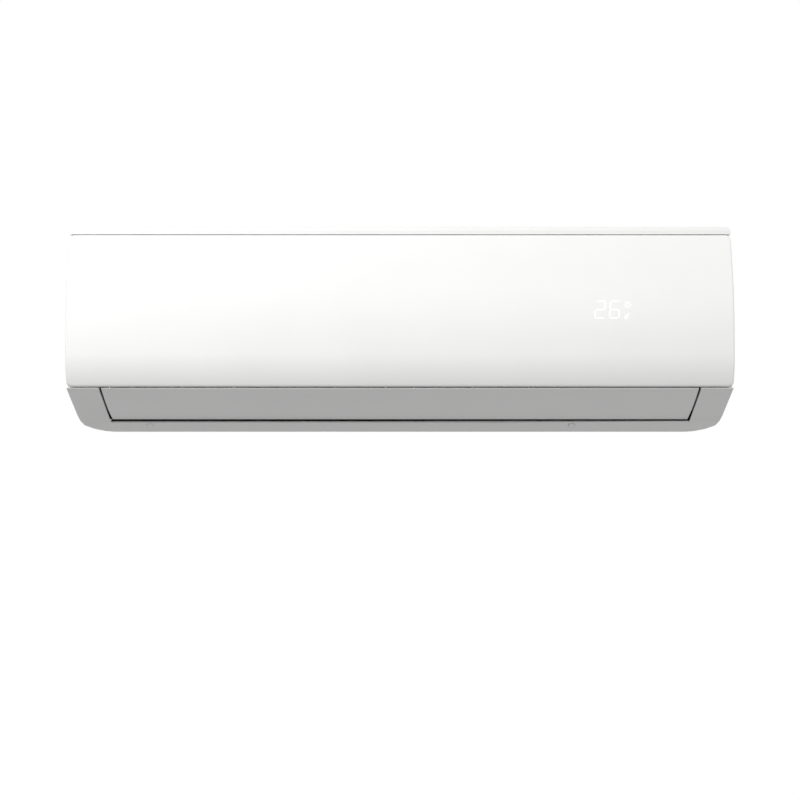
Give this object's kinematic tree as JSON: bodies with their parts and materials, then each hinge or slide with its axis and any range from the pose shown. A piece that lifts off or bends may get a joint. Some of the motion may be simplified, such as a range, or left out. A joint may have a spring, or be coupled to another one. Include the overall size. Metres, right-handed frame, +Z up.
{
  "type": "mini split indoor unit",
  "caption": "Wall-hung indoor unit of a mini split air conditioner: glossy hinged front panel, swinging vane, filters, coil and cross-flow fan on a steel mounting plate.",
  "frame": {"origin": "middle of the mounting plate's back face, on the wall", "axes": "+X to the right as seen from the room, +Y into the wall, +Z up"},
  "size_m": [0.8, 0.1999, 0.25],
  "materials": {
    "white_abs_gloss": "glossy moulded ABS",
    "white_abs_satin": "satin moulded ABS",
    "grey_moulding": "moulded polystyrene, light grey",
    "dark_moulding": "dark moulded plastic",
    "bearing_rubber": "rubber bush with a sintered sleeve",
    "galvanised_steel": "pressed, zinc coated",
    "motor_resin": "resin packed motor body",
    "coil_copper": "drawn copper tube",
    "nut_brass": "machined brass",
    "fin_aluminium": "blue-white coated fin stock",
    "circuit_board": "green solder mask",
    "display_window": "translucent light guide"
  },
  "bodies": {
    "root": {"mounting_plate": "galvanised_steel", "rear_chassis": "grey_moulding", "front_frame": "white_abs_satin", "intake_grille": "white_abs_satin", "evaporator_front_lower": "fin_aluminium", "evaporator_front_upper": "fin_aluminium", "evaporator_rear": "fin_aluminium", "coil_bends_left": "coil_copper", "coil_bends_right": "coil_copper", "outlet_duct": "grey_moulding", "fan_bearing": "bearing_rubber", "fan_motor": "motor_resin", "motor_clamp": "grey_moulding", "vane_motor": "grey_moulding", "drain_plug": "dark_moulding", "coil_sensor": "coil_copper", "room_sensor": "dark_moulding", "electrical_box": "grey_moulding", "electrical_cover": "grey_moulding", "control_board": "circuit_board", "terminal_block": "dark_moulding", "terminal_bracket": "galvanised_steel", "display_board": "circuit_board", "display_lens": "display_window", "suction_pipe": "coil_copper", "suction_flare_nut": "nut_brass", "liquid_pipe": "coil_copper", "liquid_flare_nut": "nut_brass", "pipe_clamp": "dark_moulding", "screw_cap_left": "white_abs_satin", "frame_screw_left": "galvanised_steel", "screw_cap_right": "white_abs_satin", "frame_screw_right": "galvanised_steel"},
    "panel": {"front_panel": "white_abs_gloss"},
    "fan": {"cross_flow_fan": "dark_moulding", "motor_shaft": "galvanised_steel"},
    "vane": {"horizontal_vane": "white_abs_satin"},
    "button": {"emergency_button": "grey_moulding"},
    "blade_left_1": {"upright_blade_left_1": "grey_moulding"},
    "blade_left_2": {"upright_blade_left_2": "grey_moulding"},
    "blade_left_3": {"upright_blade_left_3": "grey_moulding"},
    "blade_left_4": {"upright_blade_left_4": "grey_moulding"},
    "blade_left_5": {"upright_blade_left_5": "grey_moulding"},
    "blade_left_6": {"upright_blade_left_6": "grey_moulding"},
    "rod_left": {"link_rod_left": "grey_moulding"},
    "filter_left": {"air_filter_left": "grey_moulding"},
    "blade_right_1": {"upright_blade_right_1": "grey_moulding"},
    "blade_right_2": {"upright_blade_right_2": "grey_moulding"},
    "blade_right_3": {"upright_blade_right_3": "grey_moulding"},
    "blade_right_4": {"upright_blade_right_4": "grey_moulding"},
    "blade_right_5": {"upright_blade_right_5": "grey_moulding"},
    "blade_right_6": {"upright_blade_right_6": "grey_moulding"},
    "rod_right": {"link_rod_right": "grey_moulding"},
    "filter_right": {"air_filter_right": "grey_moulding"}
  },
  "joints": [
    {"name": "panel_hinge", "type": "hinge", "parent": "root", "child": "panel", "pos_m": [0, -0.1638, 0.1111], "axis": [-1, 0, 0], "range_deg": [0, 60]},
    {"name": "fan_spin", "type": "hinge", "parent": "root", "child": "fan", "pos_m": [0, -0.082, -0.004], "axis": [1, 0, 0], "continuous": true},
    {"name": "vane_swing", "type": "hinge", "parent": "root", "child": "vane", "pos_m": [0, -0.11069, -0.09035], "axis": [1, 0, 0], "range_deg": [0, 75]},
    {"name": "button_press", "type": "slide", "parent": "root", "child": "button", "axis": [0, 1, 0], "range_m": [0, 0.0015], "stiffness_N_per_m": 400},
    {"name": "blade_left_1_turn", "type": "hinge", "parent": "root", "child": "blade_left_1", "pos_m": [-0.3375, -0.05741, -0.0726], "axis": [0, -0.7822, 0.6231], "range_deg": [-35, 35]},
    {"name": "blade_left_2_turn", "type": "hinge", "parent": "root", "child": "blade_left_2", "pos_m": [-0.2736, -0.05741, -0.0726], "axis": [0, -0.7822, 0.6231], "range_deg": [-35, 35]},
    {"name": "blade_left_3_turn", "type": "hinge", "parent": "root", "child": "blade_left_3", "pos_m": [-0.2097, -0.05741, -0.0726], "axis": [0, -0.7822, 0.6231], "range_deg": [-35, 35]},
    {"name": "blade_left_4_turn", "type": "hinge", "parent": "root", "child": "blade_left_4", "pos_m": [-0.1458, -0.05741, -0.0726], "axis": [0, -0.7822, 0.6231], "range_deg": [-35, 35]},
    {"name": "blade_left_5_turn", "type": "hinge", "parent": "root", "child": "blade_left_5", "pos_m": [-0.0819, -0.05741, -0.0726], "axis": [0, -0.7822, 0.6231], "range_deg": [-35, 35]},
    {"name": "blade_left_6_turn", "type": "hinge", "parent": "root", "child": "blade_left_6", "pos_m": [-0.018, -0.05741, -0.0726], "axis": [0, -0.7822, 0.6231], "range_deg": [-35, 35]},
    {"name": "rod_left_turn", "type": "hinge", "parent": "blade_left_1", "child": "rod_left", "pos_m": [-0.3375, -0.0896, -0.06486], "axis": [0, -0.7822, 0.6231], "range_deg": [-35, 35]},
    {"name": "filter_left_lift", "type": "slide", "parent": "root", "child": "filter_left", "axis": [0, 0.1961, 0.9806], "range_m": [0, 0.008]},
    {"name": "blade_right_1_turn", "type": "hinge", "parent": "root", "child": "blade_right_1", "pos_m": [0.018, -0.05741, -0.0726], "axis": [0, -0.7822, 0.6231], "range_deg": [-35, 35]},
    {"name": "blade_right_2_turn", "type": "hinge", "parent": "root", "child": "blade_right_2", "pos_m": [0.0548, -0.05741, -0.0726], "axis": [0, -0.7822, 0.6231], "range_deg": [-35, 35]},
    {"name": "blade_right_3_turn", "type": "hinge", "parent": "root", "child": "blade_right_3", "pos_m": [0.0916, -0.05741, -0.0726], "axis": [0, -0.7822, 0.6231], "range_deg": [-35, 35]},
    {"name": "blade_right_4_turn", "type": "hinge", "parent": "root", "child": "blade_right_4", "pos_m": [0.1284, -0.05741, -0.0726], "axis": [0, -0.7822, 0.6231], "range_deg": [-35, 35]},
    {"name": "blade_right_5_turn", "type": "hinge", "parent": "root", "child": "blade_right_5", "pos_m": [0.1652, -0.05741, -0.0726], "axis": [0, -0.7822, 0.6231], "range_deg": [-35, 35]},
    {"name": "blade_right_6_turn", "type": "hinge", "parent": "root", "child": "blade_right_6", "pos_m": [0.202, -0.05741, -0.0726], "axis": [0, -0.7822, 0.6231], "range_deg": [-35, 35]},
    {"name": "rod_right_turn", "type": "hinge", "parent": "blade_right_1", "child": "rod_right", "pos_m": [0.018, -0.0896, -0.06486], "axis": [0, -0.7822, 0.6231], "range_deg": [-35, 35]},
    {"name": "filter_right_lift", "type": "slide", "parent": "root", "child": "filter_right", "axis": [0, 0.1961, 0.9806], "range_m": [0, 0.008]}
  ],
  "couplings": [
    {"joint": "blade_left_2_turn", "follows": "blade_left_1_turn", "ratio": 1},
    {"joint": "blade_left_3_turn", "follows": "blade_left_1_turn", "ratio": 1},
    {"joint": "blade_left_4_turn", "follows": "blade_left_1_turn", "ratio": 1},
    {"joint": "blade_left_5_turn", "follows": "blade_left_1_turn", "ratio": 1},
    {"joint": "blade_left_6_turn", "follows": "blade_left_1_turn", "ratio": 1},
    {"joint": "rod_left_turn", "follows": "blade_left_1_turn", "ratio": -1},
    {"joint": "blade_right_2_turn", "follows": "blade_right_1_turn", "ratio": 1},
    {"joint": "blade_right_3_turn", "follows": "blade_right_1_turn", "ratio": 1},
    {"joint": "blade_right_4_turn", "follows": "blade_right_1_turn", "ratio": 1},
    {"joint": "blade_right_5_turn", "follows": "blade_right_1_turn", "ratio": 1},
    {"joint": "blade_right_6_turn", "follows": "blade_right_1_turn", "ratio": 1},
    {"joint": "rod_right_turn", "follows": "blade_right_1_turn", "ratio": -1}
  ]
}
